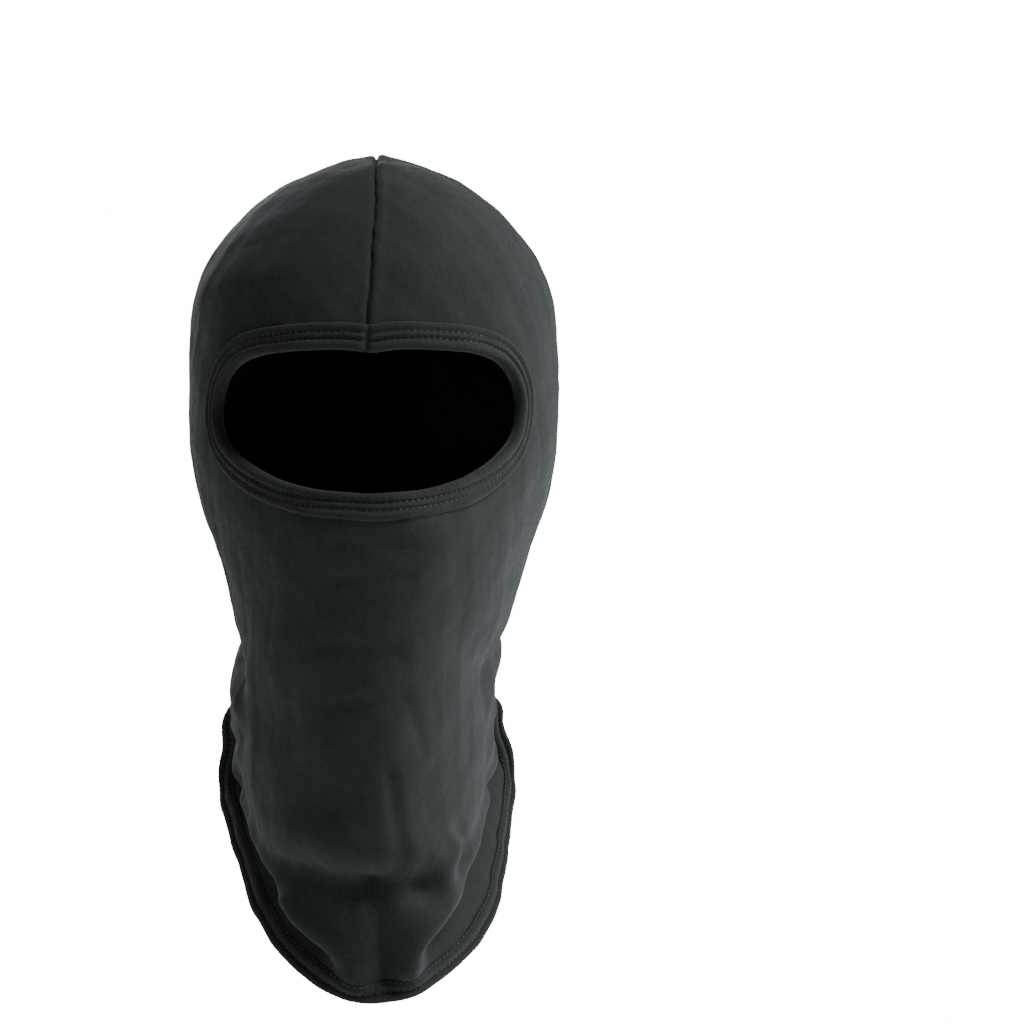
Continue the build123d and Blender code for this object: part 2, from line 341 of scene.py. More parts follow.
def head_grid(fractions):
    """Half of the head part, rows from the crown down to the neck."""
    fine = np.linspace(0, math.pi, FINE_ANGLES)
    run = along(head_point(fine, below_crown(NECK)))
    angle = np.interp(fractions, run / run[-1], fine)
    depths = np.linspace(FIRST_RING, below_crown(NECK), FINE_DEPTHS)
    side = head_point(np.full(len(depths), math.pi / 2), depths)
    front = head_point(np.zeros(len(depths)), depths)
    down = (along(side) + along(front)) / 2
    depth = np.interp(np.linspace(0, 1, HEAD_ROWS), down / down[-1], depths)
    return head_point(angle[None, :], depth[:, None])


def hem_fold(fractions):
    """Points of the hem from the front tip round one side to the back."""
    hem = np.array(HEM, float)
    at = along(hem)
    fine = np.linspace(0, at[-1], FINE_HEM)
    points = np.stack([smooth_curve(at, hem[:, k])(fine) for k in range(3)], axis=1)
    for k in (1, 2):
        padded = np.pad(points[:, k], HEM_SMOOTHING // 2, mode="reflect")
        points[:, k] = np.convolve(padded, np.ones(HEM_SMOOTHING) / HEM_SMOOTHING, mode="valid")
    return by_length(points, fractions)


def bib_grid(head, ends):
    """Half of the bib, rows from the neck down to the hem, and their distance from the hem."""
    start = head[-1]
    length = np.linalg.norm(ends - start, axis=1)
    cut = 1 - CUT_BACK / length
    share = np.concatenate([
        np.linspace(0, 1, BIB_ROWS + 1)[1:, None] * cut,
        cut + (1 - cut) * np.linspace(0, 1, EDGE_ROWS + 1)[1:, None],
    ])
    leaving = unit(start - head[-3]) * length[:, None] * 0.8
    arriving = unit(ends - start) * length[:, None] * 1.05
    bib = hermite(start, ends, leaving, arriving, share[..., None])
    return bib, (1 - share) * length


def mirrored(half, flip):
    """Half grid joined with its mirror image, without the two shared columns."""
    return np.concatenate([half, half[:, -2:0:-1] * flip], axis=1)


def base_surface():
    """Grid of the worn surface, rows from crown to hem and columns round from the front seam."""
    fractions = column_fractions()
    head = head_grid(fractions)
    bib, left_to_go = bib_grid(head, hem_fold(fractions))
    grid = mirrored(np.concatenate([head, bib]), np.array([-1.0, 1.0, 1.0]))
    far = np.full(head.shape[:2], 999.0)
    return grid, mirrored(np.concatenate([far, left_to_go]), 1)


def stroke(points, line, half_width, height):
    """Height of a soft fold along a line, for points of the plane."""
    best = np.full(points.shape[:-1], 1e9)
    for a, b in zip(line, line[1:]):
        a, b = np.array(a, float), np.array(b, float)
        d = b - a
        t = np.clip(((points - a) @ d) / (d @ d), 0, 1)
        best = np.minimum(best, np.linalg.norm(points - a - t[..., None] * d, axis=-1))
    return height * bell(best, half_width)


def tuck(x, y, z, to_hem):
    """The neck tube sags over the bib: a valley beside the hem, a bulge above it, a flared edge."""
    valley = 14.0 + 5.5 * ramp(x, -10, 30)
    past = to_hem - valley
    step_in = np.where(past < 0, bell(past, 6.0), bell(past, 4.2)) * (1 + 0.35 * ramp(-x, 10, 40))
    narrow = bell(past - 8, 17) * ramp(np.abs(x), 30, 50)
    bulge = bell(past - 10, 6.5)
    not_behind = 1 - ramp(y, 84, 96) * ramp(z, -125, -108)
    hanging = ramp(-z, 100, 122)
    aside = ramp(np.abs(x - 1), 9, 30)
    shape = -6.4 * step_in - 5.5 * narrow + 3.2 * bulge + 2.6 * bell(to_hem, 9)
    return hanging * not_behind * aside * shape


def folds(grid, to_hem):
    """How far the folds move the cloth outward."""
    x, y, z = grid[..., 0], grid[..., 1], grid[..., 2]
    xz, yz = grid[..., [0, 2]], grid[..., [1, 2]]
    normal = grid_normals(grid)
    facing_front = ramp(-normal[..., 1], -0.35, 0.25)
    facing_side = ramp(np.abs(normal[..., 0]), 0.25, 0.65) * np.where(x > 0, *SIDE_STRENGTH)
    facing_back = ramp(normal[..., 1], 0.0, 0.5)
    out = tuck(x, y, z, to_hem)
    for strokes, plane, share in (
        (FRONT_FOLDS, xz, facing_front), (SIDE_FOLDS, yz, facing_side), (NAPE_FOLDS, xz, facing_back),
    ):
        for line, half_width, height in strokes:
            out += share * stroke(plane, line, half_width, height)
    for at_y, at_z, height in PUCKERS:
        out += height * bell(y - at_y, 6) * bell(z - at_z, 6) * bell(x - PUCKER_X, 9)
    for scale, height in UNEVENNESS:
        a, b, c = rng.uniform(0, ABOUT_A_TURN, 3)
        out += height * (np.sin(x / scale * ABOUT_A_TURN + a + 0.8 * np.sin(z / scale * 3.1 + b))
                         * np.sin(z / scale * 5.1 + b + y / scale * 2.2)
                         * np.sin(y / scale * ABOUT_A_TURN + c))
    return out


def leaned(grid):
    """The surface with its slight sideways sway, and the head part stretched."""
    grid = grid.copy()
    grid[..., 0] *= 1 + HEAD_WIDER * ramp(grid[..., 2], -110, -60)
    grid[..., 0] += lean_at(grid[..., 2])
    return grid


def seamed(base):
    """The surface with the seam: it wanders, sinks in, and stands up a little on both sides."""
    panel = base.copy()
    x, y, z = base[..., 0], base[..., 1], base[..., 2]
    upper = z >= SEAM_STEADY
    ahead = y < 5
    seam_x = np.where(ahead, front_seam_at(z), SEAM_BEHIND * ramp(z, 20, 120))
    panel[..., 0] += np.where(upper, seam_x * bell(x, SEAM_DRAG), 0)
    off = x - np.where(upper, 0, lean_at(z))
    sewn = np.where(ahead, z > 20, True) & (np.abs(off) < SEAM_REACH)
    off = off + upper * (0.28 * np.sin(z / 5.3) + 0.18 * np.sin(z / 2.1 + y / 3))
    groove = -GROOVE_DEPTH * bell(off, GROOVE_WIDTH)
    shoulder = SHOULDER_HEIGHT * bell(np.abs(off) - SHOULDER_AWAY, SHOULDER_WIDTH)
    shoulder *= 1 + 0.35 * np.sign(off)
    gathers = np.sin(along(panel[:, 0])[:, None] / GATHER_PITCH * ABOUT_A_TURN + np.sign(off))
    rise = groove + shoulder + GATHER_HEIGHT * gathers * bell(np.abs(off) - 2.4, 1.5)
    return panel + grid_normals(panel) * np.where(sewn, rise, 0)[..., None]


# ---- meshes ------------------------------------------------------------------------------------

def add_mesh(name, points, faces, materials, uv=None, face_material=None, smooth=True):
    """Object of points and uv in millimetres."""
    mesh = bpy.data.meshes.new(name)
    mesh.from_pydata((np.asarray(points) * MM).tolist(), [], [tuple(int(i) for i in f) for f in faces])
    for m in materials:
        mesh.materials.append(m)
    if face_material is not None:
        mesh.polygons.foreach_set("material_index", np.asarray(face_material, np.int32))
    mesh.polygons.foreach_set("use_smooth", np.full(len(mesh.polygons), smooth))
    if uv is not None:
        layer = mesh.uv_layers.new(name="cloth")
        corners = np.zeros(len(mesh.loops), np.int32)
        mesh.loops.foreach_get("vertex_index", corners)
        layer.data.foreach_set("uv", np.asarray(uv * MM, np.float32)[corners].ravel())
    mesh.update()
    return link(bpy.data.objects.new(name, mesh))


def swept_uv(run, girth):
    """Flat cloth coordinates of a swept section: along the sweep and round the section."""
    along_it, round_it = np.meshgrid(run, girth, indexing="ij")
    return np.stack([along_it, round_it], axis=-1).reshape(-1, 2)


def inside_outline(px, pz, outline):
    """Which points lie within a closed outline."""
    inside = np.zeros(px.shape, bool)
    x2, z2 = outline[-1]
    for x1, z1 in outline:
        crosses = (z1 > pz) != (z2 > pz)
        edge = (x2 - x1) * (pz - z1) / (z2 - z1 if z2 != z1 else 1e-9) + x1
        inside ^= crosses & (px < edge)
        x2, z2 = x1, z1
    return inside


def opening_outline(count):
    """Closed outline of the face opening in x and z, from the brow seam round by the +X side."""
    half = np.array(OPENING, float)
    at = along(half)
    fine = np.linspace(0, at[-1], FINE_OPENING)
    side = np.stack([smooth_curve(at, half[:, k])(fine) for k in range(2)], axis=1)
    whole = np.concatenate([side, side[-2:0:-1] * np.array([-1, 1])])
    whole[:, 0] *= np.where(whole[:, 0] < 0, OPENING_WIDER, 1.0)
    return around(blurred(whole, 12), count)


# ---- materials ---------------------------------------------------------------------------------

def new_material(name):
    material = bpy.data.materials.new(name)
    material.use_nodes = True
    return material, material.node_tree


def add_node(tree, kind, inputs=None, **settings):
    """Node of a tree. Each input is a value, or the socket that feeds it."""
    node = tree.nodes.new("ShaderNode" + kind)
    for key, value in settings.items():
        setattr(node, key, value)
    for key, value in (inputs or {}).items():
        if isinstance(value, bpy.types.NodeSocket):
            tree.links.new(value, node.inputs[key])
        else:
            node.inputs[key].default_value = value
    return node


def calculate(tree, operation, a, b):
    return add_node(tree, "Math", {0: a, 1: b}, operation=operation).outputs[0]


def weighted(tree, *parts):
    """Sum of sockets, each times its weight."""
    total = None
    for socket, weight in parts:
        part = calculate(tree, "MULTIPLY", socket, weight)
        total = part if total is None else calculate(tree, "ADD", total, part)
    return total


def noise(tree, vector, scale, detail):
    inputs = {"Vector": vector, "Scale": scale, "Detail": detail}
    return add_node(tree, "TexNoise", inputs).outputs["Fac"]


def stretched(tree, vector, scale):
    return add_node(tree, "Mapping", {"Vector": vector, "Scale": scale}).outputs["Vector"]


def ribbing(tree, vector, pitch, direction, distortion):
    """Even ribs of this pitch; a wave texture has a period of pi / 10 at a scale of one."""
    inputs = {
        "Vector": vector, "Scale": math.pi / 10 / pitch, "Distortion": distortion,
        "Detail": 1.0, "Detail Scale": 2.0,
    }
    return add_node(tree, "TexWave", inputs, bands_direction=direction).outputs["Fac"]


def two_tones(tree, fac, dark, dark_at, light):
    node = add_node(tree, "ValToRGB", {"Fac": fac})
    low, high = node.color_ramp.elements
    low.position, low.color = dark_at, (*dark, 1)
    high.position, high.color = 1.0, (*light, 1)
    return node.outputs["Color"]


def bumped(tree, shader, height, strength, distance):
    bump = add_node(tree, "Bump", {"Height": height, "Strength": strength, "Distance": distance})
    tree.links.new(bump.outputs["Normal"], shader.inputs["Normal"])


def cloth_material(name, colour, wale, course, sheen, streak=1.0, fuzz=1.0):
    """Brushed knit: fine ribs and courses under a nap, with soft streaks of shade."""
    material, tree = new_material(name)
    shader = tree.nodes["Principled BSDF"]
    shader.inputs["Roughness"].default_value = 0.92
    shader.inputs["IOR"].default_value = 1.35
    shader.inputs["Sheen Weight"].default_value = sheen
    shader.inputs["Sheen Roughness"].default_value = 0.42
    shader.inputs["Sheen Tint"].default_value = (0.80, 0.93, 1.0, 1)
    cloth = add_node(tree, "UVMap", uv_map="cloth").outputs["UV"]
    space = add_node(tree, "TexCoord").outputs["Object"]

    ribs = ribbing(tree, cloth, wale, "X", 1.1)
    rows = ribbing(tree, cloth, course, "Y", 1.4)
    nap = noise(tree, space, 1500, 3)
    streaks = noise(tree, stretched(tree, cloth, (520, 90, 1)), 1.0, 3)
    patches = noise(tree, space, 26, 3)
    fluff = noise(tree, stretched(tree, space, (1, 1, 0.6)), 420, 4)
    loops = calculate(tree, "MULTIPLY", ribs, rows)

    shade = weighted(tree, (streaks, 0.28 * streak), (patches, 0.35), (fluff, 0.60 * fuzz), (loops, 0.12))
    dark, light = ([part * share for part in colour] for share in (0.52, 1.5))
    tree.links.new(two_tones(tree, shade, dark, 0.30, light), shader.inputs["Base Color"])
    height = weighted(tree, (ribs, 0.26), (rows, 0.16), (nap, 0.55 * fuzz), (fluff, fuzz))
    bumped(tree, shader, height, 0.55, 0.00035)
    return material


def thread_material(name, colour, sheen):
    """Twisted polyester thread."""
    material, tree = new_material(name)
    shader = tree.nodes["Principled BSDF"]
    shader.inputs["Base Color"].default_value = (*colour, 1)
    shader.inputs["Roughness"].default_value = 0.55
    shader.inputs["Sheen Weight"].default_value = sheen
    space = add_node(tree, "TexCoord").outputs["Object"]
    bumped(tree, shader, noise(tree, space, 2600, 2), 0.4, 0.00008)
    return material


FLEECE = cloth_material("charcoal fleece", (0.0040, 0.0061, 0.0064), 0.00095, 0.0011, 0.05)
# Inside face of the fleece, darker than the outside and without sheen: its own side of the cloth, with
# painted shade that keeps the inside dark
FLEECE_INSIDE_SHADE = cloth_material("fleece inside painted shade", (0.0035, 0.0036, 0.004), 0.00095, 0.0011, 0.0)
BINDING = cloth_material("charcoal binding", (0.0052, 0.0074, 0.0077), 0.0007, 0.0008, 0.06, 0.5, 0.7)
THREAD = thread_material("charcoal thread", (0.0022, 0.0028, 0.003), 0.02)
ELASTIC = cloth_material("elastic", (0.02, 0.02, 0.022), 0.0011, 0.0006, 0.0)


# ---- the panel ---------------------------------------------------------------------------------

def panel_uv(panel, side):
    """Flat coordinates in each half: across from its side line, and down that line."""
    columns = panel.shape[1]
    steps = np.linalg.norm(np.diff(np.concatenate([panel, panel[:, :1]], axis=1), axis=1), axis=2)
    run = np.concatenate([np.zeros((len(panel), 1)), np.cumsum(steps, axis=1)], axis=1)[:, :columns]
    first_half = np.arange(columns)[None, :] <= columns // 2
    across = run - np.where(first_half, run[:, side, None], run[:, columns - side, None])
    down = np.tile(-along(panel[:, side])[:, None], (1, columns))
    return np.stack([across, down], axis=-1).reshape(-1, 2)


def walled(points, normals, faces, uv, thickness):
    """Both faces of a sheet, and the rim that joins them: points, faces, kinds and uv."""
    edges = dict.fromkeys((a, b) for f in faces for a, b in zip(f, f[1:] + f[:1]))
    total = len(points)
    inner = [tuple(total + i for i in reversed(f)) for f in faces]
    rim = [(b, a, total + a, total + b) for a, b in edges if (b, a) not in edges]
    kinds = [0] * len(faces) + [1] * len(inner) + [0] * len(rim)
    both = np.concatenate([points, points - normals * thickness])
    return both, faces + inner + rim, kinds, np.concatenate([uv, uv])


def without_loose(points, faces, uv):
    """The same mesh without the points that no face uses."""
    used = np.zeros(len(points), bool)
    used[[i for f in faces for i in f]] = True
    renumber = np.cumsum(used) - 1
    return points[used], [tuple(int(renumber[i]) for i in f) for f in faces], uv[used]


def make_panel(panel, normals):
    """The fleece with its face opening, of one thickness, with raw edges inside the bindings."""
    rows, columns = panel.shape[:2]
    points = panel.reshape(-1, 3)
    outline = opening_outline(CUT_STATIONS)
    tangent = ring_tangent(outline)
    outward = np.stack([-tangent[:, 1], tangent[:, 0]], axis=1)
    cut_line = outline + (CUT_BACK + 0.3) * outward
    quads = grid_quads(rows, columns)
    middle = points[quads].mean(axis=1)
    in_hole = (middle[:, 1] < -30) & inside_outline(middle[:, 0], middle[:, 2], cut_line)
    cap = [((k + 1) % columns, k, len(points)) for k in range(columns)]
    faces = [tuple(q) for q in quads[~in_hole].tolist()] + cap

    outer = np.concatenate([points, panel[0].mean(axis=0)[None]])
    up = np.array([[0.0, 0.0, 1.0]])
    straight = np.concatenate([normals.reshape(-1, 3), up])
    straight[:columns] = up
    side = int(columns // 2 * 0.55)
    uv = np.concatenate([panel_uv(panel, side), [[0, 0]]])
    both, faces, kinds, uv = walled(outer, straight, faces, uv, PLY)
    both, faces, uv = without_loose(both, faces, uv)
    # The inner faces take the darker inside fleece, which is painted shade
    return add_mesh("main_panel_cloth", both, faces, [FLEECE, FLEECE_INSIDE_SHADE], uv, kinds)


base, to_hem = base_surface()
base = base + grid_normals(base) * folds(base, to_hem)[..., None]
base = leaned(base)
worn = BVHTree.FromPolygons(base.reshape(-1, 3).tolist(), grid_quads(*base.shape[:2]).tolist())
panel = seamed(base)[:-EDGE_ROWS]
panel_normals = grid_normals(panel)
main_panel = make_panel(panel, panel_normals)


# ---- edges laid on the surface -----------------------------------------------------------------

LAY_STEP = 0.75                 # distance between the points of a laid line
FACE_REACH = 14                 # how far the lines go into the cloth
HEM_REACH = 12
IN_FRONT = -300                 # well in front of the cloth


def nearest(place):
    """Nearest place of the worn surface, and the normal there."""
    spot, normal, _, _ = worn.find_nearest(Vector(place))
    return np.array(spot), np.array(normal)


class Laid:
    """Lines walked over the worn surface into the cloth, from stations along an edge."""

    def __init__(self, edge, towards, reach):
        tangent = ring_tangent(edge)
        inward = unit(towards - np.sum(towards * tangent, axis=1, keepdims=True) * tangent)
        count = int(reach / LAY_STEP) + 2
        places = np.zeros((len(edge), count, 3))
        normals = np.zeros_like(places)
        for i, (place, ahead) in enumerate(zip(edge, inward)):
            spot, normal = nearest(place)
            for k in range(count):
                places[i, k], normals[i, k] = spot, normal
                ahead = unit(ahead - (ahead @ normal) * normal)
                spot, normal = nearest(spot + ahead * LAY_STEP)
        self.places = blurred(places, 2.0)
        self.normals = unit(blurred(normals, 4.0))
        self.edge = self.places[:, 0]

    def carry(self, profile, stations=slice(None)):
        """A profile of (distance from the edge, height), one for all stations or one for each."""
        places, normals = self.places[stations], self.normals[stations]
        profile = np.broadcast_to(profile, (len(places), *np.shape(profile)[-2:]))
        reach = profile[..., 0] / LAY_STEP
        i = np.clip(reach.astype(int), 0, places.shape[1] - 2)
        t = (reach - i)[..., None]
        row = np.arange(len(places))[:, None]
        spot = places[row, i] * (1 - t) + places[row, i + 1] * t
        normal = unit(normals[row, i] * (1 - t) + normals[row, i + 1] * t)
        return spot + normal * profile[..., 1, None]


def lay_face():
    """Lines from the edge of the face opening, which is carried back onto the surface."""
    outline = opening_outline(FACE_STATIONS)
    forward = Vector((0, 1, 0))
    level = [worn.ray_cast(Vector((x, IN_FRONT, z)), forward)[0][1] for x, z in outline]
    edge = np.stack([outline[:, 0], np.array(level), outline[:, 1]], axis=1)
    outward = edge * np.array([1, 0, 1]) - np.array([0, 0, 0.5])
    return Laid(edge, unit(outward), FACE_REACH)


def lay_hem():
    """Lines from the fold of the hem."""
    edge = blurred(around(base[-1], HEM_STATIONS), 5.0)
    above = around(base[-EDGE_ROWS - 8], HEM_STATIONS)
    return Laid(edge, unit(above - edge), HEM_REACH)


face, hem = lay_face(), lay_hem()


# ---- the bindings ------------------------------------------------------------------------------

BAND_GROOVE = 0.75              # height of the cloth under a row of stitches
BAND_CREST = 2.45               # height of the rolled edge
BAND_RIDGE = 1.05               # how far a ridge between two rows stands up
STITCH_PITCH = 2.75


def band_profile(rolled, ridges, width, inner_width):
    """Closed section of a binding folded over the edge: distance from the fold, height."""
    top = []
    for t in np.linspace(0.06, 1, 9):
        a = math.pi * (1 - t)
        roll = -0.7 + (BAND_CREST + 0.7) * math.sin(a) ** 0.8
        top.append((rolled / 2 + rolled / 2 * math.cos(a), roll + t ** 4 * (BAND_GROOVE + 0.7)))
    for low, high in ridges:
        for t in (0.12, 0.3, 0.5, 0.7, 0.88, 1.0):
            swell = math.sin(math.pi * min(t, 0.999)) ** 0.7
            top.append((low + (high - low) * t, BAND_GROOVE + BAND_RIDGE * swell))
    top += [(width + 0.05, 0.35), (width - 0.15, 0.04)]
    raw = CUT_BACK - 0.5
    under = [(width - 3, 0.04), (raw, 0.04), (raw, -PLY - 0.04), (inner_width - 0.4, -PLY - 0.04)]
    inner = [
        (inner_width, -PLY - 0.5), (inner_width - 0.6, -PLY - 1.0), (6.2, -PLY - 1.15),
        (4.4, -PLY - 0.9), (2.9, -PLY - 1.5), (1.2, -PLY - 1.45), (0.35, -PLY - 0.75),
    ]
    return np.array(top + under + inner)


def make_band(name, laid, profile, pinch, scallop):
    """Binding swept round an edge. pinch is how far its ends are drawn in at their join, 0 to 1."""
    section = np.tile(profile, (len(laid.edge), 1, 1))
    run = along(laid.edge)
    ripple = (scallop * np.sin(run / STITCH_PITCH * 2 * math.pi)
              + 0.16 * np.sin(run / 9.1) + 0.12 * np.sin(run / 5.3 + 1))[:, None]
    upper = section[..., 1] > 0.3
    outer = upper & (section[..., 0] > 7.0)
    section[..., 1] *= np.where(upper, (1 - 0.85 * pinch[:, None]) * (1 + ripple * 0.55), 1)
    section[..., 0] += np.where(outer, ripple * 0.9, 0)
    girth = along(profile)
    return add_mesh(name, laid.carry(section).reshape(-1, 3), ring_faces(len(run), len(profile)),
                    [BINDING], swept_uv(run, girth))


def make_face_binding():
    """The strip round the face opening; its ends meet at the seam at the brow."""
    join = bell(face.edge[:, 0] - SEAM_AT_BROW, 1.5) * (face.edge[:, 2] > 10)
    profile = band_profile(4.2, [(4.9, 7.4), (8.0, FACE_BAND)], FACE_BAND, 8.6)
    return make_band("face_binding_cloth", face, profile, join, 0.04)


def make_hem_binding():
    """The strip round the hem; its ends meet at the back."""
    join = bell(hem.edge[:, 0], 1.4) * (hem.edge[:, 1] > 20) * 0.7
    profile = band_profile(3.8, [(4.5, 8.4)], HEM_BAND, 7.6)
    return make_band("hem_binding_cloth", hem, profile, join, 0.05)


face_binding = make_face_binding()
hem_binding = make_hem_binding()


# ---- threads and elastic -----------------------------------------------------------------------

STITCH_LENGTH = 1.9
STITCH_DIP = 0.32               # how far a stitch's ends dive into the cloth
STITCH_RING = 8
STITCH_SEGMENTS = 6
THREAD_RADIUS = 0.17
LOOPER_RADIUS = 0.16
LOOPER_POINTS = 8               # points of the looper thread per stitch
LOOPER_SHARPNESS = 1.6          # how abruptly it turns at each side


def one_stitch(place, ahead, side, up, thick):
    """Points of a short rounded stitch whose ends dive in."""
    points = []
    for k in range(STITCH_SEGMENTS + 1):
        t = -1 + 2 * (k + 0.001) / (STITCH_SEGMENTS + 0.002)
        radius = thick / 2 * math.sqrt(max(1 - t ** 4, 0.02))
        middle = place + ahead * (t * STITCH_LENGTH / 2) - up * (STITCH_DIP * t * t)
        for j in range(STITCH_RING):
            a = 2 * math.pi * j / STITCH_RING
            points.append(middle + (side * math.cos(a) + up * math.sin(a)) * radius)
    return points


def one_stitch_faces(first):
    """Its faces, numbered from the first point."""
    faces = []
    for k in range(STITCH_SEGMENTS):
        for j in range(STITCH_RING):
            a = first + k * STITCH_RING + j
            b = first + k * STITCH_RING + (j + 1) % STITCH_RING
            faces.append((a, b, b + STITCH_RING, a + STITCH_RING))
    last = first + STITCH_SEGMENTS * STITCH_RING
    faces.append(tuple(first + j for j in reversed(range(STITCH_RING))))
    faces.append(tuple(last + j for j in range(STITCH_RING)))
    return faces


def make_stitches(name, laid, at, height, slant, thick, left_out=None):
    """Separate short stitches lying in a row along a groove."""
    row = laid.carry(np.array([[at, height]]))[:, 0]
    beside = laid.carry(np.array([[at + 0.6, height]]))[:, 0]
    run = along(closed(row))
    count = int(run[-1] / STITCH_PITCH)
    where = (np.arange(count) + 0.5) / count * run[-1]
    spots = read(run, closed(row), where)
    forward = unit(read(run, closed(row), (where + 0.3) % run[-1]) - spots)
    aside = unit(read(run, closed(beside - row), where))
    outward = read(run, closed(laid.normals[:, 0]), where)
    up = unit(np.cross(forward, aside))
    up *= np.sign(np.sum(up * outward, axis=1, keepdims=True))
    points, faces = [], []
    for place, f, s, u in zip(spots, forward, aside, up):
        if left_out is not None and left_out(place):
            continue
        turn = slant + rng.normal(0, 0.03)
        ahead = math.cos(turn) * f + math.sin(turn) * s
        side = -math.sin(turn) * f + math.cos(turn) * s
        faces += one_stitch_faces(len(points))
        points += one_stitch(place, ahead, side, u, thick)
    return add_mesh(name, points, faces, [THREAD])


def make_thread(name, path, radius, is_closed):
    """Round thread along a path."""
    tangent = ring_tangent(path) if is_closed else unit(np.gradient(path, axis=0))
    side = unit(np.cross(tangent, [0.31, 0.22, 0.93]))
    up = np.cross(tangent, side)
    a = np.linspace(0, 2 * math.pi, 6, endpoint=False)[None, :, None]
    points = path[:, None] + radius * (side[:, None] * np.cos(a) + up[:, None] * np.sin(a))
    faces = (ring_faces if is_closed else bar_faces)(len(path), 6)
    return add_mesh(name, points.reshape(-1, 3), faces, [THREAD])


def make_looper(name, laid, low, high):
    """Thread that crosses between the two needle rows on the inside."""
    count = int(along(closed(laid.edge))[-1] / STITCH_PITCH) * LOOPER_POINTS
    phase = np.arange(count) / LOOPER_POINTS * 2 * math.pi
    swing = np.tanh(LOOPER_SHARPNESS * np.sin(phase)) / math.tanh(LOOPER_SHARPNESS)
    at = (low + high) / 2 + (high - low) / 2 * swing
    profile = np.stack([at, np.full(count, -PLY - 1.3)], axis=1)[:, None, :]
    where = np.arange(count) / count * len(laid.edge)
    i = where.astype(int) % len(laid.edge)
    t = (where - where.astype(int))[:, None]
    here, there = (laid.carry(profile, k)[:, 0] for k in (i, (i + 1) % len(laid.edge)))
    return make_thread(name, here * (1 - t) + there * t, LOOPER_RADIUS, True)


def make_elastic():
    """Flat elastic inside the fold of the face binding."""
    section = np.array([(1.7, 0.15), (4.1, 0.15), (4.1, -0.45), (1.7, -0.45)])
    uv = swept_uv(along(face.edge), [0, 2.4, 3, 5.4])
    return add_mesh("face_elastic_strip", face.carry(section).reshape(-1, 3),
                    ring_faces(len(face.edge), 4), [ELASTIC], uv, smooth=False)


def at_brow_join(place):
    """Whether a stitch would lie on the join of the face binding, where the rows are broken."""
    return place[2] > 20 and abs(place[0] - SEAM_AT_BROW) < 1.6


FACE_STITCH = {"slant": 0.30, "thick": 0.44, "left_out": at_brow_join}
HEM_STITCH = {"slant": 0.25, "thick": 0.42}

face_inner = make_stitches("face_inner_stitches", face, at=4.55, height=0.98, **FACE_STITCH)
face_outer = make_stitches("face_outer_stitches", face, at=7.7, height=0.95, **FACE_STITCH)
hem_inner = make_stitches("hem_inner_stitches", hem, at=4.15, height=1.0, **HEM_STITCH)
hem_outer = make_stitches("hem_outer_stitches", hem, at=8.75, height=0.75, **HEM_STITCH)
face_loop = make_looper("face_looper", face, low=4.4, high=8.0)
hem_loop = make_looper("hem_looper", hem, low=4.2, high=7.2)
face_elastic = make_elastic()


# ---- inside the seam ---------------------------------------------------------------------------

NEEDLE_DEPTH = 0.75             # depth of the needle thread under the seam
ALLOWANCE_DEPTH = PLY + 1.6
ALLOWANCE_MIDDLE = 3.0          # the allowances are turned to the +X side of the seam
OVERLOCK_SWING = 2.6
OVERLOCK_RISE = 0.7
OVERLOCK_PITCH = 2.4
OVERLOCK_POINTS = 10            # points of the thread per pitch


def seam_line(depth):
    """Line under the seam, up the forehead, over the crown and down the back."""
    above_band = panel[:, 0, 2] > OPENING_TOP + FACE_BAND + 1.5
    front = (panel[:, 0] - panel_normals[:, 0] * depth)[above_band]
    half = panel.shape[1] // 2
    back = (panel[:, half] - panel_normals[:, half] * depth)[:-3]
    return np.concatenate([front[::-1], back])


def make_allowance(line, inwards):
    """The two allowances turned to one side inside the seam."""
    section = np.array([(0.4, -0.2), (5.6, -0.2), (5.6, 0.9), (0.4, 0.9)])
    across = section[None, :, :1] * np.array([1.0, 0, 0])
    points = line[:, None] + across + section[None, :, 1:] * inwards[:, None] * 0.6
    # The allowances take the darker inside fleece, which is painted shade
    return add_mesh("seam_allowance", points.reshape(-1, 3), bar_faces(len(line), 4), [FLEECE_INSIDE_SHADE],
                    swept_uv(along(line), [0, 5, 6, 11]))


def make_overlock(line, inwards, phase):
    """Thread wrapped round the allowances."""
    sideways = (OVERLOCK_SWING * np.sin(phase) + ALLOWANCE_MIDDLE)[:, None] * np.array([1.0, 0, 0])
    wrap = line + sideways + inwards * (OVERLOCK_RISE * np.cos(phase))[:, None]
    return make_thread("seam_overlock", wrap, THREAD_RADIUS, False)


seam_needle = make_thread("seam_needle_stitches", seam_line(NEEDLE_DEPTH)[::2], THREAD_RADIUS, False)
under_seam = seam_line(ALLOWANCE_DEPTH)
wrap_count = int(along(under_seam)[-1] / OVERLOCK_PITCH) * OVERLOCK_POINTS
under_seam = by_length(under_seam, np.linspace(0, 1, wrap_count))
inwards = unit(np.array([0, 5, -20]) - under_seam * np.array([0, 1, 1]))
wrap_phase = np.arange(wrap_count) / OVERLOCK_POINTS * 2 * math.pi
seam_overlock = make_overlock(under_seam, inwards, wrap_phase)
allowance = make_allowance(under_seam[::OVERLOCK_POINTS], inwards[::OVERLOCK_POINTS])

# ---- what each piece stands for ----------------------------------------------------------------

